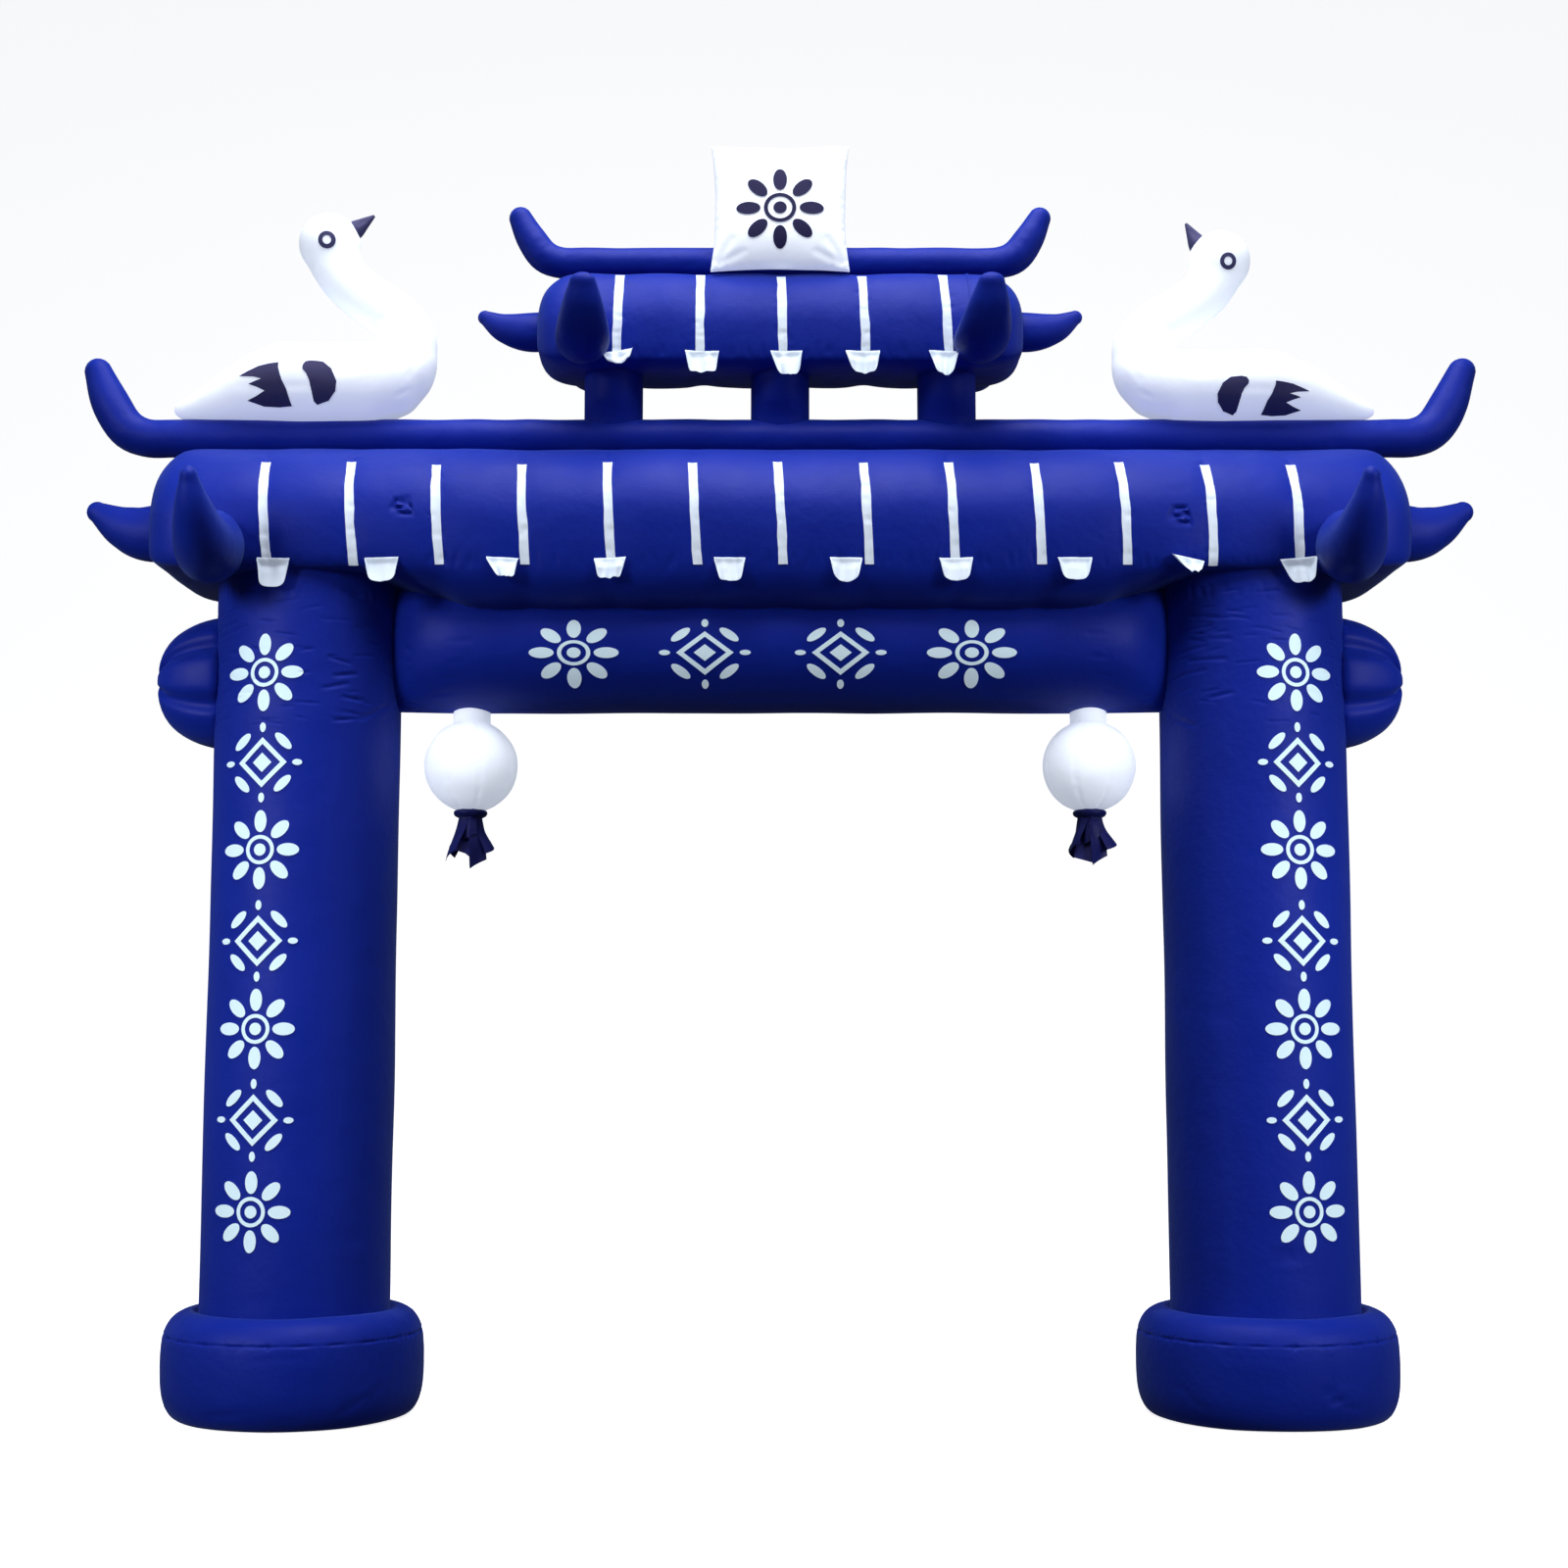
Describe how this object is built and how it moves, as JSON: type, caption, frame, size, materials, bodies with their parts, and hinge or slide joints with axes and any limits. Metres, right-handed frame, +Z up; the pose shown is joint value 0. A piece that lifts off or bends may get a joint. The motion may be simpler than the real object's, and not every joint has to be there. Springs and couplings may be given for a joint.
{
  "type": "inflatable arch",
  "caption": "Air-filled gate: round columns on wide bases, a lintel, a tiered quilted roof with upturned horns, white swans, a square pillow and hanging ball lanterns.",
  "frame": {"origin": "on the ground, midway between the two columns", "axes": "+Z up, +X along the gate to the right as seen from the front, -Y out of the front face"},
  "size_m": [6.2466, 1.816, 5.5754],
  "materials": {
    "blue_cloth": "coated woven polyester, soft satin",
    "white_cloth": "coated woven polyester, soft satin",
    "slate_cloth": "woven polyester, matt"
  },
  "bodies": {
    "root": {"left_base": "blue_cloth", "right_base": "blue_cloth", "left_column": "blue_cloth", "right_column": "blue_cloth", "lintel": "blue_cloth", "left_arm": "blue_cloth", "right_arm": "blue_cloth", "main_roof": "blue_cloth", "main_ridge": "blue_cloth", "main_front_horn_left": "blue_cloth", "main_front_horn_right": "blue_cloth", "main_rear_horn_left": "blue_cloth", "main_rear_horn_right": "blue_cloth", "main_end_horn_left": "blue_cloth", "main_end_horn_right": "blue_cloth", "post_left": "blue_cloth", "post_middle": "blue_cloth", "post_right": "blue_cloth", "upper_roof": "blue_cloth", "upper_ridge": "blue_cloth", "upper_front_horn_left": "blue_cloth", "upper_front_horn_right": "blue_cloth", "upper_rear_horn_left": "blue_cloth", "upper_rear_horn_right": "blue_cloth", "upper_end_horn_left": "blue_cloth", "upper_end_horn_right": "blue_cloth", "tassel_left": "blue_cloth", "tassel_right": "blue_cloth", "swan_left": "white_cloth", "swan_right": "white_cloth", "pillow": "white_cloth", "lantern_left": "white_cloth", "lantern_right": "white_cloth", "main_strip_01": "white_cloth", "main_strip_02": "white_cloth", "main_strip_03": "white_cloth", "main_strip_04": "white_cloth", "main_strip_05": "white_cloth", "main_strip_06": "white_cloth", "main_strip_07": "white_cloth", "main_strip_08": "white_cloth", "main_strip_09": "white_cloth", "main_strip_10": "white_cloth", "main_strip_11": "white_cloth", "main_strip_12": "white_cloth", "main_strip_13": "white_cloth", "main_drip_01": "white_cloth", "main_drip_02": "white_cloth", "main_drip_03": "white_cloth", "main_drip_04": "white_cloth", "main_drip_05": "white_cloth", "main_drip_06": "white_cloth", "upper_strip_01": "white_cloth", "upper_strip_02": "white_cloth", "upper_strip_03": "white_cloth", "upper_strip_04": "white_cloth", "upper_strip_05": "white_cloth", "beak_left": "slate_cloth", "beak_right": "slate_cloth"}
  },
  "joints": []
}
